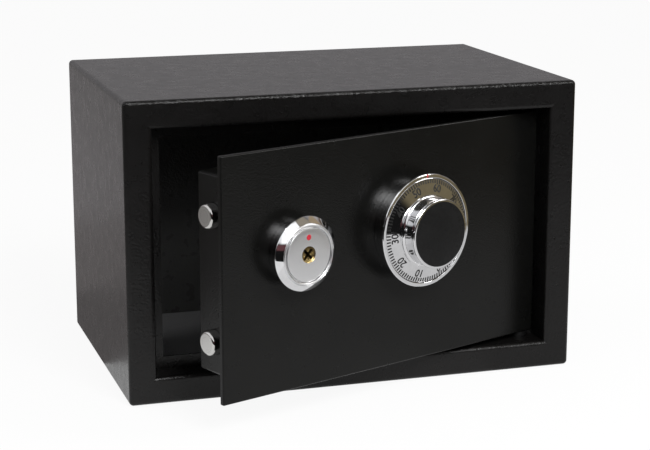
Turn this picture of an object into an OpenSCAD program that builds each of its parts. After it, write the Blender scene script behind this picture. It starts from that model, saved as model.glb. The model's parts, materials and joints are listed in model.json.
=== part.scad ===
// Small steel safe with a mechanical combination dial and a cross-key lock.
// The door is hinged on the right and stands ajar, with its two bolts drawn in.
// Frame: origin at the middle of the base footprint, front face towards -Y, +Z up.
// Parts on the door are drawn in door coordinates: x = distance from the free edge,
// y = depth behind the door's front face (negative is out in front), z = height.

/* [Body] */
// Width of the body
body_w = 310; // [290:5:360]
// Depth of the body
body_d = 200; // [180:5:300]
// Height of the body
body_h = 200; // [195:5:260]
// Thickness of the body's folded sheet
sheet = 2; // [1.5:0.25:2.5]
// Outside radius of the body's folds
fold_r = 3; // [2.5:0.25:4]
// Width of the front border round the doorway
border = 18.5; // [17:0.5:24]
// Width of the stop flange that the door shuts against
stop_w = 8; // [6:0.5:9]
// Depth of the return fold on the hinge side, from the body's front
hinge_return = 36; // [34:1:45]
// Thickness of the felt on the floor
mat_t = 2; // [1:0.5:4]

/* [Anchor holes] */
// Diameter of the holes for the wall and floor bolts
anchor_d = 10; // [8:0.5:12]
// Distance between the two holes in the back, and in the floor
anchor_spacing = 100; // [80:10:120]

/* [Door] */
// Angle that the door stands open
door_open = 21.5; // [0:0.5:90]
// Depth of the door's face behind the body's front
recess = 15; // [14:0.5:18]
// Thickness of the door plate
door_t = 3; // [2.5:0.5:4]
// Gap between the doorway and the door's two sides and bottom
door_gap = 3.5; // [3:0.25:4]
// Gap above the door
top_gap = 4; // [3:0.25:5]
// Gap between the shut door and its stop
seat_gap = 0.5; // [0.3:0.1:1]
// Rounding of the door plate's edges
door_edge_r = 1; // [0.5:0.1:1.2]

/* [Hinge] */
// Diameter of the hinge pins
hinge_pin_d = 8; // [6:0.5:8]
// Distance of the hinge axis from the door's edge
pivot_inset = 7.5; // [7:0.25:9]
// Height of each hinge bracket on the door
bracket_h = 14; // [10:1:20]
// Thickness of the hinge blocks in the frame
block_t = 6; // [4:0.5:8]
// Radial clearance of the pins in the frame's blocks
pin_clear = 0.06; // [0.04:0.01:0.1]

/* [Bolt box] */
// Distance of the box from the door's free edge
box_inset = 15; // [14:0.5:20]
// Distance of the box from the door's hinge edge
box_hinge_inset = 22; // [20:1:30]
// Height of the box
box_h = 128; // [120:1:138]
// Thickness of the box's sheet
box_sheet = 1.5; // [1:0.25:2]
// How far the middle of the box lies below the door's middle
box_drop = 3.25; // [0:0.25:4]

/* [Bolts] */
// Diameter of the locking bolts
bolt_d = 16; // [12:1:17]
// Chamfer on the end of a bolt
bolt_chamfer = 0.5; // [0.25:0.25:2]
// Distance of each bolt's axis from its end of the box
bolt_inset = 23.5; // [21:0.5:26]
// How far the middle between the bolts lies below the box's middle
bolt_drop = 2.25; // [0:0.25:3]
// Depth of the bolts' axes behind the door's face, which also sets the depth of the box
bolt_depth = 29; // [26:0.5:32]
// Distance of the drawn-in bolts' ends from the door's free edge
bolt_tip = 8; // [7.5:0.5:10]
// Travel of the bolts
bolt_throw = 14; // [10:1:14]
// Length of a bolt, up to the plate that carries it
bolt_len = 27; // [26:1:30]
// Thickness of the plate that carries the bolts
bar_t = 3; // [2:0.5:3]

/* [Key lock] */
// Distance of the key lock from the door's free edge
lock_x = 55; // [53:0.5:58]
// Height of the key lock above the door's middle
lock_rise = 12.25; // [11:0.25:14]
// Largest diameter of the lock's bezel
bezel_d = 47.5; // [44:0.5:52]
// Diameter of the lock's flat face
lock_face_d = 36; // [34:0.5:38]
// How far the bezel stands out from the door
bezel_h = 15.3; // [13:0.5:18]
// Diameter of the lock's body
lock_body_d = 27; // [22:0.5:28]
// Diameter of the plug
plug_d = 10.5; // [8:0.5:11]
// Width of each arm of the cross keyway
keyway_w = 1.8; // [1.2:0.1:2.2]

/* [Dial] */
// Distance of the dial from the door's free edge
dial_x = 151; // [148:1:156]
// Height of the dial above the door's middle
dial_rise = 13.5; // [11:0.25:15]
// Outer diameter of the dial's fixed ring
ring_d = 74.2; // [70:0.2:84]
// Diameter of the ring's neck against the door
ring_neck_d = 62; // [54:1:64]
// How far the ring's front lip stands out from the door
ring_h = 16.2; // [14:0.2:18]
// Diameter of the knob's front
knob_d = 45.5; // [40:0.5:52]
// How far the knob's front stands out from the door
knob_h = 29.3; // [27:0.5:34]
// Diameter of the spindle
spindle_d = 8; // [6:0.5:8]

/* [Wheel pack] */
// Diameter of a tumbler wheel
wheel_d = 44; // [38:1:45]
// Thickness of a tumbler wheel
wheel_t = 2.5; // [1.5:0.25:2.5]
// Gap between two tumbler wheels
wheel_gap = 2; // [1.8:0.1:2]
// Width of the gate cut in each wheel
gate_w = 5.2; // [4.8:0.1:7]
// Depth of the gate
gate_depth = 6; // [4:0.5:8]
// How far the fence is lifted clear of the wheels
fence_lift = 2.3; // [1:0.1:3]
// How far the fence lever turns while the bolts are thrown, in degrees
lever_swing = 4.4; // [2:0.1:4.4]

/* [Hidden] */
$fn = 64;
cut = 1;                // how far a cutter runs past a face
run_fit = 0.06;         // radial clearance of parts that turn on each other
slip = 0.1;             // clearance of parts that seat in each other
snug = 0.02;            // clearance of parts pressed or screwed together

// Doorway
way_w = body_w - 2 * border;
way_h = body_h - 2 * border;
mid_z = body_h / 2;
stop_y = recess + door_t + seat_gap;      // front of the stop flange
fold_in_r = max(fold_r - sheet, 0.5);     // inside radius of the folds
mat_gap = 2;                              // room round the felt
mat_setback = 8;                          // felt in front of the end of the hinge return
anchor_margin = 4;                        // felt cut back round each hole

// Door and hinge
door_w = way_w - 2 * door_gap;
door_h = way_h - door_gap - top_gap;
door_z = mid_z + (door_gap - top_gap) / 2;   // middle of the door
pivot_x = door_w - pivot_inset;           // hinge axis, in door coordinates
pivot_y = door_t + hinge_pin_d / 2;
pivot_world = [door_w / 2 - pivot_inset, -body_d / 2 + recess + pivot_y];
swing_r = pivot_inset + 6;                // room that the hinge end of the door needs
block_x = pivot_world[0] - swing_r;       // inner end of the hinge blocks
block_y = recess - 3;                     // front of the hinge blocks
bracket_w = 2 * (pivot_inset - 0.5);
bracket_wall = 1.5;                       // bracket behind the pin
bracket_y = pivot_y + hinge_pin_d / 2 + bracket_wall;
pin_lead = 0.8;                           // chamfer on the pins' free ends
washer_rim = 3;                           // width of the thrust washer's ring

// Screws. A post's bore is one pin longer than the screw that sits in it.
screw_d = 4;
screw_head_d = 7.6;
screw_head_h = 2.4;
screw_len = 8;
bore_len = screw_len + 1;
small_screw_d = 3;
bolt_screw_d = 6;
bolt_screw_len = 10;
bolt_screw_head_d = 11;
bolt_screw_head_h = 4;

// Bolt work. The bar's plate lies behind the lock and the wheel pack.
bar_y = bolt_depth + bolt_screw_head_d / 2 + 0.8;   // front of the bar's plate
bar_x = bolt_tip + bolt_len;              // outer face of the bar's flange
bar_end_gap = 12.5;                       // bar's ends inside the ends of the box
bar_spine_w = 14;
bar_arm_h = 12;
bar_room = 8;                             // room behind the front of the bar's plate
guide_in = 28;                            // guide posts behind the bar's flange
guide_d = 6;
guide_shoulder_d = 11;
guide_play = 0.4;
guide_slot_w = guide_d + guide_play;
guide_x = bar_x + guide_in;
guide_end = bar_y + bar_t + 0.3;          // posts end just behind the bar
keeper_gap = 0.5;                         // play of the thrown bolts behind the keeper
keeper_y = recess + bolt_depth - bolt_d / 2 - keeper_gap;

// Bolt box
box_w = door_w - box_inset - box_hinge_inset;
box_z = door_z - box_drop;
box_z0 = box_z - box_h / 2;
box_z1 = box_z + box_h / 2;
cover_t = 1.2;
cover_y = bar_y + bar_room;
box_y = cover_y + cover_t;                // outer face of the back cover
box_in_r = 0.3;
box_r = box_sheet + box_in_r;
post_d = 8;
post_in = 6.2;                            // cover posts, in from the box's outside
bar_z0 = box_z0 + bar_end_gap;
bar_z1 = box_z1 - bar_end_gap;
bolt_zs = [box_z0 + bolt_inset - bolt_drop, box_z1 - bolt_inset - bolt_drop];
guide_zs = [bar_z0 + bar_arm_h / 2, bar_z1 - bar_arm_h / 2];

// Key lock
lock_z = door_z + lock_rise;
bezel_overhang = 4.25;                    // bezel's edge outside its neck
bezel_bevel = 3.8;                        // height of the bezel's sloping side
neck_d = bezel_d - 2 * bezel_overhang;
face_t = 1.4;                             // thickness of the lock's face
face_sink = 0.3;                          // face behind the bezel's rim
face_back = bezel_h - face_sink - face_t;
plug_sink = 1;                            // plug behind the face
keyway_depth = 14;
nut_t = 6;
nut_rim = 5;
cam_t = 3;
cam_gap = 1.3;                            // between the lock's cam and the bar
tail_step = 1;                            // from the lock's body to its cam
cam_y = bar_y - cam_gap - cam_t;          // front of the lock's cam
lock_end = cam_y - tail_step;             // back end of the lock's body
tail_end = cam_y + cam_t + tail_step;
crank_r = bolt_throw / 2 / sin(45);       // the key's quarter turn moves the bar by bolt_throw
crank_pin_d = 5;
crank_play = 0.9;                         // room for the pin's arc against a steady ratio
crank_slot_w = crank_pin_d + crank_play;
pin_over = 1;                             // how far pins stand out behind the bar
plug_square = 6.6;
dot_d = 3.2;
dot_rise = 10.9;
mid_arm_h = 12.5;
arm_z0 = lock_z + screw_head_d / 2 + 1.2; // middle arm, just above the cam's screw
arm_z1 = arm_z0 + mid_arm_h;

// Dial
dial_z = door_z + dial_rise;
lip_w = 2.9;                              // width of the ring's flat lip
ring_wall = 3;
ring_edge_r = 0.9;
ring_floor = 2;
dial_r = ring_d / 2 - lip_w;              // graduated disc, inside the ring's lip
dial_back = ring_h - 3.1;
dial_sink = 0.5;                          // disc's edge below the lip
cone_rise = 2;
cone_h = ring_h + cone_rise;              // front of the graduated cone
cone_r = knob_d / 2 + 1.3;
inlay_rim = 1.5;                          // width of the knob's rim round the inlay
inlay_r = knob_d / 2 - inlay_rim;
inlay_t = 0.7;
knob_seat = cone_h + 3;                   // bottom of the knob's screw hole
index_w = 1.1;
index_len = 2.2;
index_depth = 0.3;

// Wheel pack
wheel_count = 3;
post_r = 7;                               // hollow post that the wheels turn on
post_flange_r = 11;
post_flange_t = 2;
post_front = ring_floor + post_flange_t;
base_t = 2;                               // thickness of the wheel pack's two plates
base_y = door_t;
nut_across = 19;
post_nut_t = 2.8;
layer_gap = 0.4;                          // between the last wheel and the drive cam
wheel_y0 = base_y + base_t + post_nut_t + layer_gap / 2;
wheel_pitch = wheel_t + wheel_gap;
drive_y = wheel_y0 + wheel_count * wheel_pitch;   // front of the drive cam
post_end = drive_y - layer_gap;
drive_t = 4;
drive_r = wheel_d / 2 - 2;
clip_t = 1;
clip_rim = 3;
rear_gap = 2;                             // between the rear plate and the bar
rear_y = bar_y - base_t - rear_gap;       // front of the rear plate
pick_r = 16;                              // circle of the pick-up pins
pick_d = 3;
pick_len = wheel_gap - 2 * slip;
pick_step = 2 * asin((pick_d + slip) / 2 / pick_r);   // angle between two pins that touch
hole_d = 4;                               // lightening holes of the wheels
hole_in = 9;

// Fence lever. Its nose pin rests on the ramp of the bolt bar's middle arm.
fence_z = dial_z + wheel_d / 2 + fence_lift;
fence_w = 4;
lever_t = 3;
lever_y = drive_y + 0.5;
lever_pin_d = 6;
lever_hub_r = 6.5;
lever_px = dial_x + 26;
lever_pz = fence_z + 3.2;
nose_pin_d = 4;
nose_gap = 0.25;
nose_x = dial_x - 38;
nose_z = arm_z1 + nose_pin_d / 2 + nose_gap;
nose_dx = nose_x - lever_px;
nose_dz = nose_z - lever_pz;
nose_fall = nose_dz - (nose_dx * sin(lever_swing) + nose_dz * cos(lever_swing));
nose_shift = nose_dx * cos(lever_swing) - nose_dz * sin(lever_swing) - nose_dx;
spring_wire = 0.9;
spring_peg_d = 2.4;
spring_peg = [lever_px - 18, lever_pz + 3];
pillar_d = 8;
pillar_in = 5.5;                          // pillars, in from the plates' edges
plate_r = 5;
plate_gap = 3.5;                          // from the plates' top to the box
plate_x0 = nose_x - 11;
plate_x1 = lever_px + 16;
plate_z0 = dial_z - wheel_d / 2 - 7.5;
plate_z1 = box_z1 - box_sheet - plate_gap;
pillar_xs = [plate_x0 + pillar_in, plate_x1 - pillar_in];
pillar_zs = [plate_z0 + pillar_in, plate_z1 - pillar_in];

// ---------------------------------------------------------------- helpers

// Puts what is drawn in door coordinates in its place on the open door
module on_door() {
    translate([pivot_world[0], pivot_world[1], 0]) rotate([0, 0, door_open])
        translate([-pivot_x, -pivot_y, 0]) children();
}

// A turned part whose own +z points out of the door's face
module out_of_door(x, z) {
    on_door() translate([x, 0, z]) rotate([90, 0, 0]) children();
}

// A turned part whose own +z points into the safe, starting at depth y
module into_safe(x, y, z) {
    on_door() translate([x, y, z]) rotate([-90, 0, 0]) children();
}

// Extrudes a shape drawn in x and z from y0 to y1
module slab(y0, y1) {
    translate([0, y1, 0]) rotate([90, 0, 0]) linear_extrude(y1 - y0) children();
}

// Box from its lowest to its highest corner
module block(lo, hi) {
    translate(lo) cube(hi - lo);
}

// Rectangle about the origin with round corners
module round_rect(w, h, r) {
    square([w - 2 * r, h], center = true);
    square([w, h - 2 * r], center = true);
    for (x = [-1, 1], y = [-1, 1]) translate([x * (w / 2 - r), y * (h / 2 - r)]) circle(r);
}

// Slot about the origin, len long over its round ends
module slot2d(len, w) {
    square([len - w, w], center = true);
    for (k = [-1, 1]) translate([k * (len - w) / 2, 0]) circle(w / 2);
}

// Block about the y axis from y = 0 to d, with round long edges and a round front edge
module soft_front(w, h, d, r) {
    slab(r, d) round_rect(w, h, r);
    block([-(w / 2 - r), 0, -(h / 2 - r)], [w / 2 - r, 2 * r, h / 2 - r]);
    for (k = [-1, 1]) {
        translate([-(w / 2 - r), r, k * (h / 2 - r)]) rotate([0, 90, 0]) cylinder(r = r, h = w - 2 * r);
        translate([k * (w / 2 - r), r, -(h / 2 - r)]) cylinder(r = r, h = h - 2 * r);
    }
    for (x = [-1, 1], z = [-1, 1]) translate([x * (w / 2 - r), r, z * (h / 2 - r)]) sphere(r);
}

// Tube or disc with a bore
module ring(r_out, r_in, h) {
    difference() {
        cylinder(r = r_out, h = h);
        translate([0, 0, -cut]) cylinder(r = r_in, h = h + 2 * cut);
    }
}

// Pan-head screw: head from z = 0 to head_h, shank the other way
module pan_screw(d, len, head_d, head_h) {
    difference() {
        union() {
            cylinder(d = head_d, h = head_h * 0.6);
            translate([0, 0, head_h * 0.6]) cylinder(d1 = head_d, d2 = head_d * 0.7, h = head_h * 0.4);
        }
        for (a = [0, 90]) rotate([0, 0, a])
            translate([0, 0, head_h]) cube([head_d * 0.55, 0.8, head_h], center = true);
    }
    translate([0, 0, -len]) cylinder(d = d, h = len);
}

// Points of an arc
function arc(cx, cy, r, a0, a1, n) =
    [for (k = [0 : n]) let (a = a0 + (a1 - a0) * k / n) [cx + r * cos(a), cy + r * sin(a)]];

// Wire of diameter d along points, as one closed tube with the given number of sides
module wire(points, d, sides = 8) {
    n = len(points);
    function unit(v) = v / norm(v);
    function along(i) = unit(points[min(i + 1, n - 1)] - points[max(i - 1, 0)]);
    // the coil's axis is z, so z and the wire's direction give a steady frame
    function across(i) = unit(cross([0, 0, 1], along(i)));
    rings = [for (i = [0 : n - 1], k = [0 : sides - 1])
        let (a = 360 * k / sides, u = across(i), v = cross(along(i), u))
            points[i] + d / 2 * (cos(a) * u + sin(a) * v)];
    skin = [for (i = [0 : n - 2], k = [0 : sides - 1]) let (m = (k + 1) % sides)
        [i * sides + k, i * sides + m, (i + 1) * sides + m, (i + 1) * sides + k]];
    ends = [[for (k = [sides - 1 : -1 : 0]) k], [for (k = [0 : sides - 1]) (n - 1) * sides + k]];
    polyhedron(rings, concat(skin, ends));
}

// ---------------------------------------------------------------- body

// Place of the body's parts: drawn with the front face at y = 0 and z = 0 at mid-height
module in_body() {
    translate([0, -body_d / 2, mid_z]) children();
}

// The doorway's mouth, whose edges are folded round and mitred in the corners
module mouth_cut() {
    difference() {
        block([-way_w / 2 - fold_r, -cut, -way_h / 2 - fold_r],
            [way_w / 2 + fold_r, fold_r, way_h / 2 + fold_r]);
        for (k = [-1, 1]) {
            translate([-way_w / 2 - fold_r, fold_r, k * (way_h / 2 + fold_r)])
                rotate([0, 90, 0]) cylinder(r = fold_r, h = way_w + 2 * fold_r);
            translate([k * (way_w / 2 + fold_r), fold_r, -way_h / 2 - fold_r])
                cylinder(r = fold_r, h = way_h + 2 * fold_r);
        }
    }
}

// Room taken by one hinge block; side is -1 at the bottom and 1 at the top
module hinge_block_space(side) {
    z = side * way_h / 2;
    block([block_x, block_y, min(z, z + side * block_t)],
        [way_w / 2, hinge_return, max(z, z + side * block_t)]);
}

module body_shell() {
    color([0.075, 0.072, 0.074]) in_body() difference() {
        soft_front(body_w, body_h, body_d, fold_r);
        // hollow, leaving the doorway's reveals and the deeper return at the hinge
        difference() {
            translate([0, sheet, 0])
                soft_front(body_w - 2 * sheet, body_h - 2 * sheet, body_d, fold_in_r);
            block([-way_w / 2 - sheet, 0, -way_h / 2 - sheet],
                [way_w / 2 + sheet, stop_y + sheet, way_h / 2 + sheet]);
            block([way_w / 2, 0, -way_h / 2 - sheet], [way_w / 2 + sheet, hinge_return, way_h / 2 + sheet]);
        }
        // recess in front of the stop flange
        block([-way_w / 2, -cut, -way_h / 2], [way_w / 2, stop_y, way_h / 2]);
        mouth_cut();
        // way through the stop flange, which ends short of the hinges
        block([-way_w / 2 + stop_w, 0, -way_h / 2 + stop_w],
            [way_w / 2, stop_y + sheet + cut, way_h / 2 - stop_w]);
        block([block_x, 0, -way_h / 2], [way_w / 2, stop_y + sheet + cut, way_h / 2]);
        for (side = [-1, 1]) hinge_block_space(side);
        for (k = [-1, 1]) translate([k * anchor_spacing / 2, body_d / 2, -body_h / 2 - cut])
            cylinder(d = anchor_d, h = sheet + 2 * cut);
    }
}

module back_panel() {
    color([0.075, 0.072, 0.074]) in_body() difference() {
        slab(body_d - sheet, body_d) round_rect(body_w - 2 * sheet, body_h - 2 * sheet, fold_in_r);
        for (k = [-1, 1]) translate([k * anchor_spacing / 2, body_d - sheet - cut, 0])
            rotate([-90, 0, 0]) cylinder(d = anchor_d, h = sheet + 2 * cut);
    }
}

module floor_mat() {
    mat_y0 = hinge_return - mat_setback;
    color([0.16, 0.16, 0.17]) in_body() translate([0, 0, -body_h / 2 + sheet]) difference() {
        block([-body_w / 2 + sheet + mat_gap, mat_y0, 0],
            [body_w / 2 - sheet - mat_gap, body_d - sheet - mat_gap / 2, mat_t]);
        for (k = [-1, 1]) translate([k * anchor_spacing / 2, body_d / 2, -cut])
            cylinder(d = anchor_d + 2 * anchor_margin, h = mat_t + 2 * cut);
    }
}

// Block welded into the frame, which the hinge pin turns in
module frame_hinge_block(side) {
    color([0.1, 0.1, 0.1]) difference() {
        in_body() hinge_block_space(side);
        translate([pivot_world[0], pivot_world[1], mid_z + side * way_h / 2 - block_t - cut])
            cylinder(r = hinge_pin_d / 2 + pin_clear, h = 2 * (block_t + cut));
    }
}

// Angle welded behind the stop flange, which the thrown bolts lie behind
module bolt_keeper() {
    z1 = way_h / 2 - stop_w;
    color([0.1, 0.1, 0.1]) in_body() {
        block([-way_w / 2 - sheet, stop_y + sheet, -z1], [-way_w / 2, keeper_y, z1]);
        block([-way_w / 2 - sheet, keeper_y - sheet, -z1], [-way_w / 2 + stop_w, keeper_y, z1]);
    }
}

// ---------------------------------------------------------------- door

module door_plate() {
    color([0.1, 0.1, 0.1]) on_door() difference() {
        translate([door_w / 2, 0, door_z]) soft_front(door_w, door_h, door_t, door_edge_r);
        translate([lock_x, -cut, lock_z]) rotate([-90, 0, 0])
            cylinder(r = lock_body_d / 2 + slip, h = door_t + 2 * cut);
        translate([dial_x, -cut, dial_z]) rotate([-90, 0, 0])
            cylinder(r = post_r + slip, h = door_t + 2 * cut);
    }
}

// Lowest height of the bracket at the bottom (side -1) or top (side 1) of the door
function bracket_z(side) = side < 0 ? door_z - door_h / 2 : door_z + door_h / 2 - bracket_h;

module door_hinge_bracket(side) {
    color([0.1, 0.1, 0.1]) on_door() difference() {
        block([pivot_x - bracket_w / 2, door_t, bracket_z(side)],
            [pivot_x + bracket_w / 2, bracket_y, bracket_z(side) + bracket_h]);
        translate([pivot_x, pivot_y, bracket_z(side) - cut])
            cylinder(r = hinge_pin_d / 2 + snug, h = bracket_h + 2 * cut);
    }
}

module hinge_pin(side) {
    // the pin ends just inside the far face of the frame's block
    len = bracket_h + (side < 0 ? door_gap : top_gap) + block_t - pin_lead / 2;
    color([0.25, 0.25, 0.25]) on_door()
        translate([pivot_x, pivot_y, door_z + side * (door_h / 2 - bracket_h)])
        mirror([0, 0, side < 0 ? 1 : 0]) {
            cylinder(d = hinge_pin_d, h = len - pin_lead);
            translate([0, 0, len - pin_lead])
                cylinder(d1 = hinge_pin_d, d2 = hinge_pin_d - 2 * pin_lead, h = pin_lead);
        }
}

// Ring that carries the door's weight on the lower block
module hinge_thrust_washer() {
    color([0.2, 0.2, 0.2]) on_door()
        translate([pivot_x, pivot_y, mid_z - way_h / 2 + slip])
            ring(hinge_pin_d / 2 + washer_rim, hinge_pin_d / 2 + slip, door_gap - 2 * slip);
}

module bolt_box() {
    color([0.09, 0.09, 0.09]) on_door() difference() {
        translate([box_inset + box_w / 2, 0, box_z]) slab(door_t, cover_y) difference() {
            round_rect(box_w, box_h, box_r);
            round_rect(box_w - 2 * box_sheet, box_h - 2 * box_sheet, box_in_r);
        }
        for (z = bolt_zs) translate([box_inset - cut, bolt_depth, z]) rotate([0, 90, 0])
            cylinder(r = bolt_d / 2 + 0.3, h = box_sheet + 2 * cut);
    }
}

// Middle of each cover post, in door coordinates
cover_spots = [for (x = [box_inset + post_in, box_inset + box_w - post_in],
    z = [box_z0 + post_in, box_z1 - post_in]) [x, z]];

module cover_posts() {
    color([0.55, 0.55, 0.55]) for (p = cover_spots)
        into_safe(p[0], door_t, p[1]) difference() {
            cylinder(d = post_d, h = cover_y - door_t);
            translate([0, 0, cover_y - door_t - bore_len])
                cylinder(d = screw_d + 2 * snug, h = bore_len + cut);
        }
}

module back_cover() {
    color([0.09, 0.09, 0.09]) on_door() difference() {
        translate([box_inset + box_w / 2, 0, box_z]) slab(cover_y, box_y) round_rect(box_w, box_h, box_r);
        for (p = cover_spots) translate([p[0], cover_y - cut, p[1]]) rotate([-90, 0, 0])
            cylinder(d = screw_d + 0.4, h = cover_t + 2 * cut);
    }
}

module cover_screws() {
    color([0.7, 0.7, 0.7]) for (p = cover_spots)
        into_safe(p[0], box_y, p[1]) pan_screw(screw_d, screw_len, screw_head_d, screw_head_h);
}

// ---------------------------------------------------------------- key lock

module lock_bezel() {
    r = bezel_d / 2;
    face_r = lock_face_d / 2;
    bore_r = lock_body_d / 2 + slip;
    color([0.8, 0.8, 0.8]) out_of_door(lock_x, lock_z) rotate_extrude() polygon(concat(
        [[bore_r, 0], [neck_d / 2, 0], [neck_d / 2, bezel_h - bezel_bevel - 2]],
        arc(r - 0.8, bezel_h - bezel_bevel, 0.8, -60, 40, 6),
        arc(face_r + 0.9, bezel_h - 0.6, 0.6, 45, 130, 6),
        [[face_r, bezel_h - 0.9], [face_r, face_back], [bore_r, face_back]]));
}

module lock_face() {
    color([0.72, 0.72, 0.74]) out_of_door(lock_x, lock_z) translate([0, 0, face_back]) difference() {
        ring(lock_face_d / 2 - slip, plug_d / 2 + run_fit, face_t);
        // shallow seat of the coloured mark
        translate([0, dot_rise, face_t - 0.3]) cylinder(d = dot_d, h = cut);
    }
}

module lock_body() {
    color([0.6, 0.6, 0.62]) into_safe(lock_x, 0, lock_z) difference() {
        translate([0, 0, slip - face_back])
            ring(lock_body_d / 2, plug_d / 2 + run_fit, lock_end + face_back - slip);
        // flats that keep the body from turning in the wrench
        for (k = [-1, 1]) translate([k * (lock_body_d - 1.4), 0, lock_end])
            cube([lock_body_d, lock_body_d, 2 * (lock_end - door_t - nut_t - 1)], center = true);
    }
}

module lock_nut() {
    color([0.66, 0.66, 0.66]) into_safe(lock_x, door_t, lock_z) difference() {
        cylinder(d = lock_body_d + 2 * nut_rim, h = nut_t, $fn = 6);
        translate([0, 0, -cut]) cylinder(r = lock_body_d / 2 + snug, h = nut_t + 2 * cut);
    }
}

// Brass plug with a cross keyway in front and a square tail for the cam
module lock_plug() {
    plug_front = face_back + face_t - plug_sink;
    color([0.72, 0.56, 0.28]) out_of_door(lock_x, lock_z) difference() {
        union() {
            translate([0, 0, -lock_end]) cylinder(d = plug_d, h = lock_end + plug_front);
            translate([0, 0, -(cam_y + cam_t / 2)])
                cube([plug_square, plug_square, cam_t + 2 * tail_step], center = true);
        }
        for (a = [45, 135]) rotate([0, 0, a]) translate([0, 0, plug_front])
            cube([plug_d - 1.6, keyway_w, 2 * keyway_depth], center = true);
        translate([0, 0, -tail_end - cut]) cylinder(d = small_screw_d + 2 * snug, h = bore_len);
    }
}

// Crank on the plug's tail, whose pin moves the bolt bar
module lock_cam() {
    pin_x = crank_r * sin(45);
    pin_z = crank_r * cos(45);
    hub_r = 8;
    boss_r = 4.5;
    arm_w = 7;
    color([0.68, 0.68, 0.68]) on_door() translate([lock_x, 0, lock_z]) {
        difference() {
            slab(cam_y, cam_y + cam_t) {
                circle(hub_r);
                translate([pin_x, pin_z]) circle(boss_r);
                rotate(45) translate([0, -arm_w / 2]) square([crank_r, arm_w]);
            }
            slab(cam_y - cut, cam_y + cam_t + cut) square(plug_square + 2 * slip, center = true);
        }
        translate([pin_x, cam_y + cam_t, pin_z]) rotate([-90, 0, 0])
            cylinder(d = crank_pin_d, h = cam_gap + bar_t + pin_over);
    }
}

module lock_cam_screw() {
    color([0.7, 0.7, 0.7]) into_safe(lock_x, tail_end, lock_z)
        pan_screw(small_screw_d, screw_len - 2, screw_head_d, screw_head_h);
}

// ---------------------------------------------------------------- bolt work

// Bent plate that joins the bolts. Its three arms carry the two guide slots, the notch for
// the lock's crank and the ramp that holds up the fence lever.
module bolt_bar() {
    slot_len = bolt_throw + guide_slot_w;
    arm_x1 = guide_x + slot_len + 2;
    notch_x = lock_x + crank_r * sin(45);
    // the ramp runs parallel to the path that the nose pin takes over the bar
    ramp_x0 = nose_x - 0.4;
    ramp_x1 = ramp_x0 + bolt_throw + nose_shift;
    arm_end = ramp_x1 + 4;
    color([0.62, 0.62, 0.64]) on_door() {
        slab(bar_y, bar_y + bar_t) difference() {
            union() {
                translate([bar_x, bar_z0]) square([bar_spine_w, bar_z1 - bar_z0]);
                for (z = guide_zs) translate([bar_x, z - bar_arm_h / 2])
                    square([arm_x1 - bar_x, bar_arm_h]);
                polygon([[bar_x, arm_z0], [arm_end, arm_z0], [arm_end, arm_z1 - nose_fall],
                    [ramp_x1, arm_z1 - nose_fall], [ramp_x0, arm_z1], [bar_x, arm_z1]]);
            }
            for (z = guide_zs) translate([guide_x + bolt_throw / 2, z]) slot2d(slot_len, guide_slot_w);
            translate([notch_x - crank_slot_w / 2, arm_z0 - cut])
                square([crank_slot_w, lock_z + crank_r + crank_pin_d / 2 + 0.6 - arm_z0 + cut]);
        }
        // flange that the bolts are screwed to
        difference() {
            block([bar_x, bolt_depth - bolt_d / 2, bar_z0 + 2], [bar_x + bar_t, bar_y, bar_z1 - 2]);
            for (z = bolt_zs) translate([bar_x - cut, bolt_depth, z]) rotate([0, 90, 0])
                cylinder(r = bolt_screw_d / 2 + slip, h = bar_t + 2 * cut);
        }
    }
}

module locking_bolt(z) {
    color([0.78, 0.78, 0.78]) on_door()
    translate([bolt_tip, bolt_depth, z]) rotate([0, 90, 0]) difference() {
        union() {
            cylinder(d1 = bolt_d - 2 * bolt_chamfer, d2 = bolt_d, h = bolt_chamfer);
            translate([0, 0, bolt_chamfer]) cylinder(d = bolt_d, h = bolt_len - bolt_chamfer);
        }
        translate([0, 0, bolt_len - bolt_screw_len - 1])
            cylinder(r = bolt_screw_d / 2 + snug, h = bolt_screw_len + 1 + cut);
    }
}

module bolt_screws() {
    color([0.7, 0.7, 0.7]) on_door() for (z = bolt_zs)
        translate([bar_x + bar_t, bolt_depth, z]) rotate([0, 90, 0])
            pan_screw(bolt_screw_d, bar_t + bolt_screw_len, bolt_screw_head_d, bolt_screw_head_h);
}

// Stepped posts on the door that the bar slides along
module guide_posts() {
    color([0.6, 0.6, 0.6]) for (z = guide_zs) into_safe(guide_x, door_t, z) difference() {
        union() {
            cylinder(d = guide_shoulder_d, h = bar_y - door_t - slip);
            cylinder(d = guide_d, h = guide_end - door_t);
        }
        translate([0, 0, guide_end - door_t - bore_len])
            cylinder(d = small_screw_d + 2 * snug, h = bore_len + cut);
    }
}

module guide_screws() {
    color([0.7, 0.7, 0.7]) for (z = guide_zs)
        into_safe(guide_x, guide_end, z)
            pan_screw(small_screw_d, screw_len, guide_shoulder_d, screw_head_h);
}

// ---------------------------------------------------------------- dial

// Fixed chromed ring round the dial, a cup clamped to the door by the hollow post
module dial_ring() {
    r = ring_d / 2;
    neck_r = ring_neck_d / 2;
    lip_r = dial_r + 0.3;
    color([0.8, 0.8, 0.8]) out_of_door(dial_x, dial_z) difference() {
        rotate_extrude() polygon(concat(
            [[post_r + slip, 0], [neck_r, 0], [neck_r, ring_h - 5]],
            arc(r - ring_edge_r, ring_h - ring_edge_r, ring_edge_r, -70, 90, 8),
            arc(lip_r + 0.3, ring_h - 0.3, 0.3, 90, 180, 4),
            [[lip_r, dial_back - 0.3], [neck_r - ring_wall, dial_back - 0.3],
            [neck_r - ring_wall, ring_floor], [post_r + slip, ring_floor]]));
        // seat of the index mark, at the top of the lip
        translate([-index_w / 2, r - index_len - 0.2, ring_h - index_depth])
            cube([index_w, index_len, cut]);
    }
}

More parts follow.
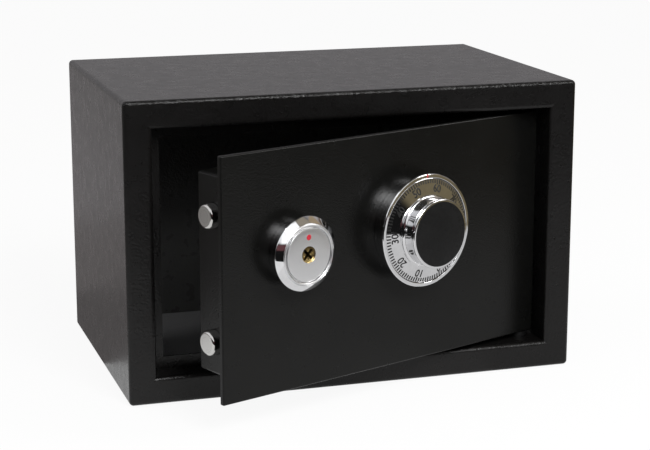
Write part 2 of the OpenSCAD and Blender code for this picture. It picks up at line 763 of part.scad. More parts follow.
// Hollow post with a flange, which clamps the ring and the base plate to the door
module wheel_post() {
    color([0.66, 0.66, 0.66]) out_of_door(dial_x, dial_z) difference() {
        union() {
            translate([0, 0, -post_end]) cylinder(r = post_r, h = post_end + post_front);
            translate([0, 0, ring_floor]) cylinder(r = post_flange_r, h = post_flange_t);
        }
        translate([0, 0, -post_end - cut])
            cylinder(r = spindle_d / 2 + run_fit, h = post_end + post_front + 2 * cut);
    }
}

module wheel_post_nut() {
    color([0.66, 0.66, 0.66]) into_safe(dial_x, base_y + base_t, dial_z) difference() {
        cylinder(d = nut_across / cos(30), h = post_nut_t, $fn = 6);
        translate([0, 0, -cut]) cylinder(r = post_r + snug, h = post_nut_t + 2 * cut);
    }
}

// Graduated disc, whose scale lies on a shallow cone
module dial() {
    hub_r = 11;
    hub_back = post_front + 0.5;
    bore_r = spindle_d / 2 + snug;
    color([0.74, 0.74, 0.74]) out_of_door(dial_x, dial_z) rotate_extrude() polygon(concat(
        [[bore_r, hub_back], [hub_r, hub_back], [hub_r, dial_back], [dial_r, dial_back]],
        arc(dial_r - 0.4, ring_h - dial_sink - 0.4, 0.4, 0, 75, 4),
        [[cone_r, cone_h], [bore_r, cone_h]]));
}

// Chromed knob with a waist, a step and a recessed front
module dial_knob() {
    r = knob_d / 2;
    waist_r = r - 2.6;
    bore_r = spindle_d / 2 + snug;
    seat = knob_h - inlay_t;
    color([0.82, 0.82, 0.82]) out_of_door(dial_x, dial_z) rotate_extrude() polygon(concat(
        [[bore_r, cone_h], [cone_r - 0.3, cone_h]],
        arc(cone_r + 1.2, cone_h + 5, 5, 255, 190, 8),
        [[waist_r, knob_h - 4.4], [r - 0.9, knob_h - 3.5], [r - 0.7, knob_h - 2.5]],
        arc(r - 0.8, knob_h - 0.8, 0.8, -20, 90, 6),
        [[inlay_r, knob_h], [inlay_r, seat], [screw_head_d / 2 + 0.4, seat],
        [screw_head_d / 2 + 0.4, knob_seat], [bore_r, knob_seat]]));
}

module knob_inlay() {
    color([0.03, 0.03, 0.03]) out_of_door(dial_x, dial_z) rotate_extrude() polygon(concat(
        [[0, knob_h - inlay_t]], [[inlay_r - slip, knob_h - inlay_t]],
        arc(inlay_r - slip - 0.4, knob_h - 0.45, 0.4, 0, 80, 4), [[0, knob_h]]));
}

module knob_screw() {
    color([0.7, 0.7, 0.7]) out_of_door(dial_x, dial_z) translate([0, 0, knob_seat])
        pan_screw(screw_d, screw_len, screw_head_d, screw_head_h);
}

module spindle() {
    tip = rear_y + base_t + 1.5;
    color([0.66, 0.66, 0.66]) out_of_door(dial_x, dial_z) difference() {
        translate([0, 0, -tip]) cylinder(d = spindle_d, h = tip + knob_seat - slip);
        translate([0, 0, knob_seat - bore_len]) cylinder(d = screw_d + 2 * snug, h = bore_len + cut);
    }
}

module spindle_clip() {
    color([0.5, 0.5, 0.5]) into_safe(dial_x, drive_y + drive_t + slip, dial_z) difference() {
        ring(spindle_d / 2 + clip_rim, spindle_d / 2 + snug, clip_t);
        translate([-clip_rim / 2, 0, -cut]) cube([clip_rim, spindle_d, clip_t + 2 * cut]);
    }
}

// ---------------------------------------------------------------- wheel pack

// Outline of the two plates that hold the wheel pack
module pack_plate(y0) {
    on_door() difference() {
        slab(y0, y0 + base_t) translate([(plate_x0 + plate_x1) / 2, (plate_z0 + plate_z1) / 2])
            round_rect(plate_x1 - plate_x0, plate_z1 - plate_z0, plate_r);
        children();
    }
}

// Bore through a plate at depth y, in door coordinates
module plate_bore(x, y, z, r) {
    translate([x, y - cut, z]) rotate([-90, 0, 0]) cylinder(r = r, h = base_t + 2 * cut);
}

module pack_base_plate() {
    color([0.58, 0.58, 0.6]) pack_plate(base_y) plate_bore(dial_x, base_y, dial_z, post_r + slip);
}

module pack_rear_plate() {
    slot_margin = 1;
    color([0.58, 0.58, 0.6]) pack_plate(rear_y) {
        plate_bore(dial_x, rear_y, dial_z, spindle_d / 2 + run_fit);
        for (x = pillar_xs, z = pillar_zs) plate_bore(x, rear_y, z, screw_d / 2 + 0.2);
        // window for the lever's nose pin
        reach = nose_pin_d / 2 + slot_margin;
        block([nose_x - reach, rear_y - cut, nose_z - nose_fall - reach],
            [nose_x + nose_shift + reach, rear_y + base_t + cut, nose_z + reach]);
    }
}

module pack_pillars() {
    y0 = base_y + base_t;
    color([0.66, 0.66, 0.66]) for (x = pillar_xs, z = pillar_zs)
        into_safe(x, y0, z) difference() {
            cylinder(d = pillar_d, h = rear_y - y0);
            translate([0, 0, rear_y - y0 - bore_len]) cylinder(d = screw_d + 2 * snug, h = bore_len + cut);
        }
}

module pack_screws() {
    // short heads, to pass under the bolt bar
    color([0.7, 0.7, 0.7]) for (x = pillar_xs, z = pillar_zs)
        into_safe(x, rear_y + base_t, z) pan_screw(screw_d, screw_len, screw_head_d, rear_gap - 0.4);
}

// Rings that keep the wheels apart on the post
module wheel_spacers() {
    color([0.72, 0.55, 0.28]) for (i = [0 : wheel_count - 2])
        into_safe(dial_x, wheel_y0 + i * wheel_pitch + wheel_t + 0.05, dial_z)
            ring(post_r + 3.5, post_r + snug, wheel_gap - slip);
}

// Angle of the front pin of wheel i; its back pin stands half a turn on
function front_pin_a(i) = 20 + i * (180 - pick_step);
gate_angles = [52, 168, 285];

// Tumbler wheel i, counted from the door: rim gate, lightening holes and pick-up pins
module tumbler_wheel(i) {
    color([0.74, 0.58, 0.3]) into_safe(dial_x, wheel_y0 + i * wheel_pitch, dial_z) {
        difference() {
            cylinder(d = wheel_d, h = wheel_t);
            translate([0, 0, -cut]) cylinder(r = post_r + run_fit, h = wheel_t + 2 * cut);
            rotate([0, 0, gate_angles[i]]) translate([wheel_d / 2 - gate_depth, -gate_w / 2, -cut])
                cube([gate_depth + cut, gate_w, wheel_t + 2 * cut]);
            for (k = [0 : 2]) rotate([0, 0, gate_angles[i] + 90 + 90 * k])
                translate([wheel_d / 2 - hole_in, 0, -cut]) cylinder(d = hole_d, h = wheel_t + 2 * cut);
        }
        if (i > 0) rotate([0, 0, front_pin_a(i)]) translate([pick_r, 0, -pick_len])
            cylinder(d = pick_d, h = pick_len + wheel_t / 2);
        rotate([0, 0, front_pin_a(i) + 180]) translate([pick_r, 0, wheel_t / 2])
            cylinder(d = pick_d, h = pick_len + wheel_t / 2);
    }
}

// Cam on the spindle, whose pin picks up the rear wheel
module drive_cam() {
    color([0.7, 0.54, 0.28]) into_safe(dial_x, drive_y, dial_z) {
        difference() {
            cylinder(r = drive_r, h = drive_t);
            translate([0, 0, -cut]) cylinder(r = spindle_d / 2 + snug, h = drive_t + 2 * cut);
            rotate([0, 0, 230]) translate([drive_r - gate_depth, -gate_w / 2, -cut])
                cube([gate_depth + cut, gate_w, drive_t + 2 * cut]);
        }
        rotate([0, 0, front_pin_a(wheel_count)]) translate([pick_r, 0, -pick_len + 0.1])
            cylinder(d = pick_d, h = pick_len + drive_t / 2);
    }
}

// Lever whose fence lies across the wheels' rims and whose nose pin rests on the bolt bar
module fence_lever() {
    nose_r = nose_pin_d;
    shoulder = [dial_x - 6, lever_pz + 6];
    edge_z = fence_z + 0.2;               // lower edge of the lever, just above its fence
    color([0.6, 0.6, 0.62]) on_door() difference() {
        union() {
            slab(lever_y, lever_y + lever_t) {
                translate([lever_px, lever_pz]) circle(lever_hub_r);
                translate([nose_x, nose_z]) circle(nose_r);
                polygon([[lever_px, lever_pz + lever_hub_r], shoulder, [nose_x, nose_z + nose_r],
                    [nose_x, nose_z - nose_r], [shoulder[0], edge_z], [lever_px - lever_hub_r, edge_z],
                    [lever_px, lever_pz - lever_hub_r]]);
            }
            block([dial_x - fence_w / 2, wheel_y0 - 0.5, fence_z],
                [dial_x + fence_w / 2, lever_y + lever_t, shoulder[1]]);
            translate([nose_x, lever_y, nose_z]) rotate([-90, 0, 0])
                cylinder(d = nose_pin_d, h = bar_y + bar_t + pin_over - lever_y);
            translate([spring_peg[0], lever_y, spring_peg[1]]) rotate([-90, 0, 0])
                cylinder(d = spring_peg_d, h = rear_y - 0.4 - lever_y);
        }
        translate([lever_px, lever_y - cut, lever_pz]) rotate([-90, 0, 0])
            cylinder(r = lever_pin_d / 2 + run_fit, h = lever_t + 2 * cut);
    }
}

module lever_pivot_post() {
    y0 = base_y + base_t;
    color([0.66, 0.66, 0.66]) into_safe(lever_px, y0, lever_pz) {
        cylinder(d = lever_pin_d, h = rear_y - y0);
        cylinder(d = lever_pin_d + 4, h = lever_y - y0 - slip);
    }
}

// Torsion spring on the pivot post: one leg on the lever's peg, one on the upper pillar
module lever_spring() {
    steps = 38;
    coil_r = (lever_pin_d + spring_wire) / 2 + 0.4;
    pitch = spring_wire + slip;
    y0 = lever_y + lever_t + spring_wire / 2 + slip;
    // drawn with z into the safe, so that z + is depth and y + is down
    wire_r = spring_wire / 2;
    peg = [spring_peg[0] - lever_px, lever_pz - spring_peg[1] - spring_peg_d / 2 - wire_r - slip];
    pillar = [pillar_xs[1] - lever_px - pillar_d / 2 - wire_r - 0.35, lever_pz - pillar_zs[1]];
    // the coil starts at its top and ends where the leg to the pillar leaves it
    a0 = 270;
    a1 = a0 + 720 + atan2(pillar[1], pillar[0]) - acos(coil_r / norm(pillar)) + 90;
    turns = (a1 - a0) / 360;
    helix = [for (k = [0 : steps]) let (a = a0 + (a1 - a0) * k / steps)
        [coil_r * cos(a), coil_r * sin(a), pitch * turns * k / steps]];
    color([0.6, 0.6, 0.6]) into_safe(lever_px, y0, lever_pz)
        wire(concat([[peg[0] - 3, peg[1], 0]], helix, [[pillar[0], pillar[1], pitch * turns]]),
            spring_wire);
}

body_shell();
back_panel();
floor_mat();
frame_hinge_block(-1);  // frame_hinge_block_bottom
frame_hinge_block(1);  // frame_hinge_block_top
bolt_keeper();
door_plate();
door_hinge_bracket(-1);  // door_hinge_bracket_bottom
door_hinge_bracket(1);  // door_hinge_bracket_top
hinge_pin(-1);  // hinge_pin_bottom
hinge_pin(1);  // hinge_pin_top
hinge_thrust_washer();
bolt_box();
cover_posts();
back_cover();
cover_screws();
lock_bezel();
lock_face();
lock_body();
lock_nut();
lock_plug();
lock_cam();
lock_cam_screw();
bolt_bar();
locking_bolt(bolt_zs[1]);  // bolt_upper
locking_bolt(bolt_zs[0]);  // bolt_lower
bolt_screws();
guide_posts();
guide_screws();
dial_ring();
wheel_post();
wheel_post_nut();
pack_base_plate();
pack_pillars();
pack_rear_plate();
pack_screws();
wheel_spacers();
dial();
dial_knob();
knob_inlay();
knob_screw();
spindle();
drive_cam();
spindle_clip();
tumbler_wheel(0);  // tumbler_wheel_front
tumbler_wheel(1);  // tumbler_wheel_middle
tumbler_wheel(2);  // tumbler_wheel_rear
fence_lever();
lever_pivot_post();
lever_spring();
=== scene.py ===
"""Small steel safe, door ajar: finishes, dial markings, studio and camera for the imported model."""
import json
import math

import bmesh
import bpy
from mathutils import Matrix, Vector


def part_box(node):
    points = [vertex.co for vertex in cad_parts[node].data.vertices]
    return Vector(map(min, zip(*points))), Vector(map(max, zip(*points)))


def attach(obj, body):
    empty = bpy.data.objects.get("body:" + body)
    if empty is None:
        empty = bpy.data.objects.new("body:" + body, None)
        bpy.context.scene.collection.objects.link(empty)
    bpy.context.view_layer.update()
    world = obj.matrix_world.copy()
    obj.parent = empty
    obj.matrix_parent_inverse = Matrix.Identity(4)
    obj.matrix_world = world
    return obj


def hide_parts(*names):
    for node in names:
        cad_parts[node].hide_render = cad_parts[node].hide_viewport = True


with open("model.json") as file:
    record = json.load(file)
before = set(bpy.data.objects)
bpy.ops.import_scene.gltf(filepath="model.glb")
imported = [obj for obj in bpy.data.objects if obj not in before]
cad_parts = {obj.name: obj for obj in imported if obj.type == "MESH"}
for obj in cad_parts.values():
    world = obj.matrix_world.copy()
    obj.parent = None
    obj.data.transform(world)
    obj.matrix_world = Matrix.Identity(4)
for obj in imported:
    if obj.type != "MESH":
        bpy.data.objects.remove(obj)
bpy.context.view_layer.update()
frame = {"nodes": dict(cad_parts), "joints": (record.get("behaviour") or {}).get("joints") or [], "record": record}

MM = 0.001
NODES = frame["nodes"]
JOINTS = {joint["name"]: joint for joint in frame["joints"]}
SLOT_OF = {part["node"]: part["material_slot"] for part in frame["record"]["subparts"]}


def box_of(node):
    """The lowest and highest corner of a CAD piece."""
    low, high = (Vector(corner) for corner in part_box(node))
    return low, high


UP = Vector((0, 0, 1))
FRONT_TO_BACK = Vector((0, 1, 0))
OUT = Vector(JOINTS["dial_spin"]["axis"])             # out of the door's face
RIGHT = UP.cross(OUT)                                 # along the door, away from its free edge
DIAL_AT = Vector(JOINTS["dial_spin"]["pos_m"])        # heights on the dial are over this point
LOCK_AT = Vector(JOINTS["key_turn"]["pos_m"])         # and those on the lock over this one

CASE_LOW, CASE_HIGH = box_of("body_shell")
CASE_WALLS = (                                        # a point on a wall's outer face, the way in
    (CASE_LOW, Vector((1, 0, 0))),
    (CASE_HIGH, Vector((-1, 0, 0))),
    (CASE_LOW, UP),
    (CASE_HIGH, -UP),
    (CASE_HIGH, -FRONT_TO_BACK),
)
FRAME_DEPTH = 0.0215                                  # from the front to behind the doorway's frame
FRAME_FADE = 0.002                                    # over which the paler coat inside the case, painted light, begins
WALL_SKIN = (0.0008, 0.0012)                          # depth that parts a wall's two sides
FOLD_BAND = (0.0015, 0.003)                           # width of the glossier fold, front and top


# ------------------------------------------------------------------ node helpers

class Shader:
    """A procedural material, built node by node, with texture coordinates in metres."""

    def __init__(self, name):
        self.material = bpy.data.materials.new(name)
        self.material.use_nodes = True
        self.tree = self.material.node_tree
        self.bsdf = self.tree.nodes["Principled BSDF"]
        coords = self.tree.nodes.new("ShaderNodeTexCoord")
        self.place = coords.outputs["Object"]

    def link(self, a, b):
        self.tree.links.new(a, b)

    def set(self, **values):
        """Constant values on the shader's own sockets; underscores stand for blanks."""
        for key, value in values.items():
            self.bsdf.inputs[key.replace("_", " ")].default_value = value

    def stretched(self, scale):
        """The texture coordinates, scaled along each axis."""
        node = self.tree.nodes.new("ShaderNodeMapping")
        node.inputs["Scale"].default_value = scale
        self.link(self.place, node.inputs["Vector"])
        return node.outputs["Vector"]

    def vector_math(self, operation, a, b, output):
        node = self.tree.nodes.new("ShaderNodeVectorMath")
        node.operation = operation
        for socket, value in zip(node.inputs, (a, b)):
            if isinstance(value, bpy.types.NodeSocket):
                self.link(value, socket)
            else:
                socket.default_value = value
        return node.outputs[output]

    def height_over(self, origin, direction):
        """Distance of a point from the plane through origin, along direction."""
        offset = self.vector_math("SUBTRACT", self.place, origin, "Vector")
        return self.vector_math("DOT_PRODUCT", offset, direction, "Value")

    def radius_about(self, origin, axis):
        """Distance of a point from the axis through origin."""
        offset = self.vector_math("SUBTRACT", self.place, origin, "Vector")
        across = self.vector_math("CROSS_PRODUCT", offset, axis, "Vector")
        return self.vector_math("LENGTH", across, (0, 0, 0), "Value")

    def line(self, value):
        """A vector that varies only with value, for one-dimensional noise."""
        node = self.tree.nodes.new("ShaderNodeCombineXYZ")
        self.link(value, node.inputs["X"])
        return node.outputs["Vector"]

    def noise(self, size, detail=2.0, rough=0.5, source=None):
        """Noise whose features are about size metres across."""
        node = self.tree.nodes.new("ShaderNodeTexNoise")
        node.inputs["Scale"].default_value = 1.0 / size
        node.inputs["Detail"].default_value = detail
        node.inputs["Roughness"].default_value = rough
        self.link(source or self.place, node.inputs["Vector"])
        return node.outputs["Fac"]

    def cells(self, size):
        """Rounded cells about size metres across."""
        node = self.tree.nodes.new("ShaderNodeTexVoronoi")
        node.feature = "SMOOTH_F1"
        node.inputs["Scale"].default_value = 1.0 / size
        node.inputs["Smoothness"].default_value = 0.7
        self.link(self.place, node.inputs["Vector"])
        return node.outputs["Distance"]

    def ramp(self, value, stops):
        """Colour ramp; stops are (position, colour or grey)."""
        node = self.tree.nodes.new("ShaderNodeValToRGB")
        elements = node.color_ramp.elements
        while len(elements) < len(stops):
            elements.new(0.5)
        for element, (position, colour) in zip(elements, stops):
            element.position = position
            if not hasattr(colour, "__len__"):
                colour = (colour, colour, colour)
            element.color = (*colour[:3], 1.0)
        self.link(value, node.inputs["Fac"])
        return node.outputs["Color"]

    def spread(self, value, low, high, start=0.0, end=1.0):
        """Maps start to end onto low to high, and stays at low or high beyond them."""
        node = self.tree.nodes.new("ShaderNodeMapRange")
        node.inputs["From Min"].default_value = start
        node.inputs["From Max"].default_value = end
        node.inputs["To Min"].default_value = low
        node.inputs["To Max"].default_value = high
        self.link(value, node.inputs["Value"])
        return node.outputs["Result"]

    def math(self, operation, a, b):
        node = self.tree.nodes.new("ShaderNodeMath")
        node.operation = operation
        for socket, value in zip(node.inputs, (a, b)):
            if isinstance(value, (int, float)):
                socket.default_value = value
            else:
                self.link(value, socket)
        return node.outputs["Value"]

    def mix(self, share, a, b):
        """Colour a where share is 0, and b where it is 1."""
        node = self.tree.nodes.new("ShaderNodeMix")
        node.data_type = "RGBA"
        self.link(share, node.inputs[0])
        self.link(a, node.inputs[6])
        self.link(b, node.inputs[7])
        return node.outputs[2]

    def bump(self, height, strength, distance):
        node = self.tree.nodes.new("ShaderNodeBump")
        node.inputs["Strength"].default_value = strength
        node.inputs["Distance"].default_value = distance
        self.link(height, node.inputs["Height"])
        self.link(node.outputs["Normal"], self.bsdf.inputs["Normal"])

    def colour(self, socket):
        self.link(socket, self.bsdf.inputs["Base Color"])

    def roughness(self, socket):
        self.link(socket, self.bsdf.inputs["Roughness"])


def shade(colour, share):
    """The colour, brighter or darker by a factor."""
    return tuple(c * share for c in colour)


# ------------------------------------------------------------------ finishes

def powder_coat(name, dark, light, grain, depth, gloss, shine, painted_inside_light=None):
    """Black powder coat: an orange-peel of bumps grain metres wide, and patches a little duller
    than others. The last argument is the coat's paler colour inside the case, which is painted light."""
    s = Shader(name)
    from_front = s.height_over(CASE_LOW, FRONT_TO_BACK)
    from_top = s.height_over(CASE_HIGH, -UP)

    patches = s.noise(0.04, 4.0, 0.6)
    coat = s.ramp(patches, [(0.3, dark), (0.7, light)])
    # painted light: inside the case the coat turns paler, lifting the dim inside
    if painted_inside_light:
        within = s.spread(from_front, 0, 1, FRAME_DEPTH, FRAME_DEPTH + FRAME_FADE)
        for wall, inwards in CASE_WALLS:
            past_wall = s.spread(s.height_over(wall, inwards), 0, 1, *WALL_SKIN)
            within = s.math("MULTIPLY", within, past_wall)
        inside_lift = s.ramp(patches, [(0.3, painted_inside_light), (0.7, shade(painted_inside_light, 1.3))])
        coat = s.mix(within, coat, inside_lift)
    s.colour(coat)

    # along the front's top edge the coat is glossier and its bumps are deeper
    fold = s.math("MULTIPLY", s.spread(from_front, 1, 0, *FOLD_BAND),
                  s.spread(from_top, 1, 0, *FOLD_BAND))
    dull = s.spread(s.noise(0.009, 4.0), gloss - 0.02, gloss + 0.03, 0.3, 0.7)
    s.roughness(s.math("SUBTRACT", dull, s.math("MULTIPLY", fold, 0.05)))
    lumps = s.math("ADD", s.cells(grain), s.noise(grain * 0.5, 2.0, 0.6))
    deeper = s.math("ADD", s.math("MULTIPLY", fold, 1.5), 1.0)
    s.bump(s.math("MULTIPLY", lumps, deeper), 0.8, depth)
    s.set(Specular_IOR_Level=shine)
    return s.material


def chrome(name, centre, polished_from, satin_within=0.0):
    """Chromed casting: mirror-bright in front, duller on the neck behind height polished_from (mm)
    and on a rim within the radius satin_within (mm). On the neck, light and dark turning rings
    are a painted reflection."""
    s = Shader(name)
    smudges = s.noise(0.006, 5.0, 0.6)
    height = s.height_over(centre, OUT)
    neck = s.spread(height, 1.0, 0.0, (polished_from - 0.4) * MM, polished_from * MM)
    polished = s.ramp(smudges, [(0.3, (0.63, 0.63, 0.64)), (0.7, (0.70, 0.70, 0.71))])
    # the neck's turning rings, painted as light and dark bands of reflection
    streaks = s.noise(0.0013, 4.0, 0.7, s.line(height))
    turned = s.ramp(streaks, [(0.38, (0.2, 0.2, 0.21)), (0.6, (0.8, 0.8, 0.8))])
    s.colour(s.mix(neck, polished, turned))

    radius = s.radius_about(centre, OUT)
    rim = s.spread(radius, 0.24, 0.0, (satin_within - 0.1) * MM, satin_within * MM)
    satin = s.math("ADD", s.math("MULTIPLY", neck, 0.05), rim)
    wear = s.spread(s.noise(0.003, 6.0, 0.7), 0.02, 0.08, 0.3, 0.7)
    s.roughness(s.math("ADD", wear, satin))
    s.set(Metallic=1.0)
    return s.material


def spun_metal(name, centre, axis, colour, rough):
    """Metal with fine turning rings about an axis through centre."""
    s = Shader(name)
    radius = s.radius_about(centre, axis)
    rings = s.noise(0.00022, 3.0, 0.7, s.line(radius))
    wide = s.noise(0.0014, 2.0, 0.6, s.line(radius))
    s.colour(s.ramp(rings, [(0.25, shade(colour, 0.84)), (0.75, colour)]))
    s.roughness(s.spread(wide, rough - 0.06, rough + 0.08, 0.3, 0.7))
    s.bump(rings, 0.35, 0.00003)
    s.set(Metallic=1.0)
    return s.material


def turned_bolt(name, centre, axis, polished_from):
    """Steel bolt: rubbed bright round its edge, beyond polished_from metres off the axis, and
    brushed on its end."""
    s = Shader(name)
    radius = s.radius_about(centre, axis)
    rings = s.noise(0.0006, 3.0, 0.7, s.line(radius))
    s.colour(s.ramp(rings, [(0.25, (0.46, 0.455, 0.44)), (0.75, (0.60, 0.59, 0.58))]))
    brushed = s.spread(rings, 0.24, 0.36, 0.3, 0.7)
    edge = s.spread(radius, 1.0, 0.22, polished_from - 0.0003, polished_from)
    s.roughness(s.math("MULTIPLY", brushed, edge))
    s.bump(rings, 0.3, 0.00005)
    s.set(Metallic=1.0)
    return s.material


def machined(name, colour, rough):
    """Plain metal with fine streaks that run up and down."""
    s = Shader(name)
    streaks = s.noise(0.0009, 4.0, 0.65, s.stretched((1, 1, 0.15)))
    s.colour(s.ramp(streaks, [(0.25, shade(colour, 0.82)), (0.75, colour)]))
    s.roughness(s.spread(s.noise(0.005, 4.0), rough - 0.07, rough + 0.1, 0.3, 0.7))
    s.bump(streaks, 0.3, 0.00004)
    s.set(Metallic=1.0)
    return s.material


def worn_brass(name):
    """Brass of the plug: bright where the key rubs, brown in between, and darker above the
    middle, a painted shade of the recess.
    """
    s = Shader(name)
    # painted shade: the plug turns darker above its middle, as under the face's upper edge
    painted_shade_above = s.spread(s.height_over(LOCK_AT, UP), 0.07, -0.13, -0.004, 0.001)
    rubbed_and_shaded = s.math("ADD", s.noise(0.0016, 3.0, 0.6), painted_shade_above)
    s.colour(s.ramp(rubbed_and_shaded, [(0.38, (0.10, 0.07, 0.03)), (0.5, (0.34, 0.24, 0.09)),
                             (0.62, (0.72, 0.55, 0.24))]))
    s.roughness(s.spread(rubbed_and_shaded, 0.5, 0.16, 0.35, 0.65))
    s.bump(s.noise(0.0012, 3.0), 0.7, 0.00035)
    s.set(Metallic=1.0)
    return s.material


def felt(name):
    s = Shader(name)
    fibres = s.noise(0.0006, 6.0, 0.8)
    s.colour(s.ramp(fibres, [(0.3, (0.03, 0.03, 0.033)), (0.75, (0.08, 0.08, 0.085))]))
    s.bump(fibres, 0.9, 0.0004)
    s.set(Roughness=0.95, Sheen_Weight=0.3)
    return s.material


def gloss_black(name):
    s = Shader(name)
    s.colour(s.ramp(s.noise(0.02, 3.0), [(0.3, 0.006), (0.7, 0.009)]))
    s.roughness(s.spread(s.noise(0.004, 5.0), 0.22, 0.34, 0.3, 0.7))
    s.bump(s.noise(0.0007, 2.0), 0.12, 0.00003)
    s.set(Specular_IOR_Level=0.09)
    return s.material


def enamel(name, colour):
    """Printed or filled-in paint."""
    s = Shader(name)
    s.colour(s.ramp(s.noise(0.0015, 3.0), [(0.3, shade(colour, 0.8)), (0.7, colour)]))
    s.set(Roughness=0.35, Specular_IOR_Level=0.3)
    return s.material


FINISHES = {
    # the body's inside colour, the last one, is painted light that lifts the dim case
    "body_paint": powder_coat("body_paint", dark=(0.0034, 0.0031, 0.0030),
                              light=(0.0047, 0.0044, 0.0043), grain=0.0017, depth=0.00017,
                              gloss=0.28, shine=0.27, painted_inside_light=(0.036, 0.036, 0.035)),
    "door_paint": powder_coat("door_paint", dark=(0.0030, 0.0030, 0.0028),
                              light=(0.0041, 0.0041, 0.0038), grain=0.0011, depth=0.00008,
                              gloss=0.25, shine=0.18),
    "felt": felt("felt"),
    "chrome": chrome("chrome", DIAL_AT, polished_from=11.6),
    "lock_face_steel": spun_metal("lock_face_steel", LOCK_AT, OUT, (0.73, 0.73, 0.74), 0.34),
    "dial_metal": chrome("dial_metal", DIAL_AT, polished_from=3),
    "black_inlay": gloss_black("black_inlay"),
    "brass": machined("brass", (0.62, 0.46, 0.20), 0.3),
    "zinc_steel": machined("zinc_steel", (0.55, 0.55, 0.56), 0.38),
    # near black: painted shade of the reveal these hinge pins sit in; oiled steel is paler
    "dark_steel": machined("painted_shade_steel", (0.03, 0.03, 0.03), 0.5),
    "lock_casting": machined("lock_casting", (0.45, 0.45, 0.46), 0.5),
    "screw_steel": machined("screw_steel", (0.62, 0.62, 0.6), 0.3),
    "spring_steel": machined("spring_steel", (0.4, 0.4, 0.42), 0.35),
}
BY_NODE = {                                           # in place of the slot's finish
    "lock_bezel": chrome("bezel_chrome", LOCK_AT, polished_from=10.2, satin_within=19.5),
    "lock_plug": worn_brass("plug_brass"),
}
MARKING_BLACK = enamel("marking_black", (0.012, 0.012, 0.012))
MARKING_RED = enamel("marking_red", (0.40, 0.012, 0.026))

for node_name, node_object in NODES.items():
    node_object.data.materials.clear()
    finish = BY_NODE.get(node_name) or FINISHES[SLOT_OF[node_name]]
    node_object.data.materials.append(finish)


# ------------------------------------------------------------------ mesh helpers

LATHE_STEPS = 192


def place_on_door(point, centre):
    """A point given as (right, up, out) in metres from centre, in the row frame."""
    return centre + RIGHT * point[0] + UP * point[1] + OUT * point[2]


def mesh_piece(name, points, faces, material, body, smooth_below=None):
    """A piece that rides on body. Edges that turn less than smooth_below degrees are smooth."""
    mesh = bpy.data.meshes.new(name)
    mesh.from_pydata([tuple(p) for p in points], [], faces)
    mesh.validate()
    bm = bmesh.new()
    bm.from_mesh(mesh)
    bmesh.ops.recalc_face_normals(bm, faces=bm.faces)
    bm.to_mesh(mesh)
    bm.free()
    mesh.materials.append(material)
    for polygon in mesh.polygons:
        polygon.use_smooth = smooth_below is not None
    if smooth_below is not None:
        mesh.set_sharp_from_angle(angle=math.radians(smooth_below))
    piece = bpy.data.objects.new(name, mesh)
    bpy.context.scene.collection.objects.link(piece)
    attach(piece, body)
    return piece


def lathe(name, profile, centre, material, body, axis=OUT):
    """Solid of revolution about a level axis; profile is a closed line of (radius, height along
    the axis) in mm."""
    side = UP.cross(axis)
    points, rings = [], []
    for r, h in profile:
        if r == 0:
            rings.append([len(points)] * LATHE_STEPS)
            points.append(centre + axis * h * MM)
            continue
        rings.append(list(range(len(points), len(points) + LATHE_STEPS)))
        for k in range(LATHE_STEPS):
            a = 2 * math.pi * k / LATHE_STEPS
            points.append(centre + (side * r * math.sin(a) + UP * r * math.cos(a) + axis * h) * MM)
    faces = []
    for ring, following in zip(rings, rings[1:] + rings[:1]):
        for k in range(LATHE_STEPS):
            m = (k + 1) % LATHE_STEPS
            corners = [ring[k], ring[m], following[m], following[k]]
            face = [v for i, v in enumerate(corners) if v not in corners[:i]]
            if len(face) > 2:
                faces.append(face)
    return mesh_piece(name, points, faces, material, body, smooth_below=30)


def filled_seat(name, outline, floor, rim, dome, centre, material, body):
    """Paint in a shallow seat: a domed pad with the given outline, (right, up) in mm, whose side
    goes from the height floor to rim, and whose middle is dome higher."""
    n = len(outline)
    middle = [sum(p[k] for p in outline) / n for k in range(2)]
    points, rings = [], []
    for share, height in ((1, floor), (1, rim), (0.8, rim + dome * 0.55), (0.45, rim + dome * 0.9)):
        rings.append([len(points) + k for k in range(n)])
        for x, y in outline:
            right = middle[0] + (x - middle[0]) * share
            up = middle[1] + (y - middle[1]) * share
            points.append(place_on_door([v * MM for v in (right, up, height)], centre))
    top = len(points)
    points.append(place_on_door([v * MM for v in (*middle, rim + dome)], centre))
    faces = [rings[0]]
    for a, b in zip(rings, rings[1:]):
        faces += [[a[k], a[(k + 1) % n], b[(k + 1) % n], b[k]] for k in range(n)]
    faces += [[rings[-1][k], rings[-1][(k + 1) % n], top] for k in range(n)]
    return mesh_piece(name, points, faces, material, body, smooth_below=40)


def arc(x, y, r, start, end, n):
    """n + 1 points round (x, y), from the angle start to end in degrees."""
    turns = [math.radians(start + (end - start) * k / n) for k in range(n + 1)]
    return [(x + r * math.cos(a), y + r * math.sin(a)) for a in turns]


# ------------------------------------------------------------------ dial markings, mm

RIM_R, RIM_H = 33.9, 15.69                            # outer edge of the graduated cone
CONE_R, CONE_H = 24.05, 18.2                          # inner edge, at the knob
TICK_OUT = 33.8
TICKS = {10: 3.2, 5: 3.0, 1: 2.7}                     # length of a tick by what it divides
TICK_W = 1.0
NUMBER_R = 28.1
NUMBER_H = 4.8
DIGIT_SHARE = 0.7                                     # a digit's height by the font's size
DIGIT_BOLDER = 0.13                                   # added round a digit's outline
GRADUATIONS = 100
ZERO_AT = 159.5                                       # clockwise from the top, degrees
PER_GRADUATION = 3.6
MARK_T = 0.05                                         # thickness of the printed marks
MARK_SUNK = 0.02                                      # of a tick, below the cone


def cone_height(r):
    return RIM_H + (CONE_H - RIM_H) * (RIM_R - r) / (RIM_R - CONE_R)


def on_dial(r, clockwise, lift):
    """Point on the dial's cone, r in mm, angle clockwise from the top as seen from the front."""
    a = math.radians(clockwise)
    right, up, out = r * math.sin(a) * MM, r * math.cos(a) * MM, (cone_height(r) + lift) * MM
    return place_on_door((right, up, out), DIAL_AT)


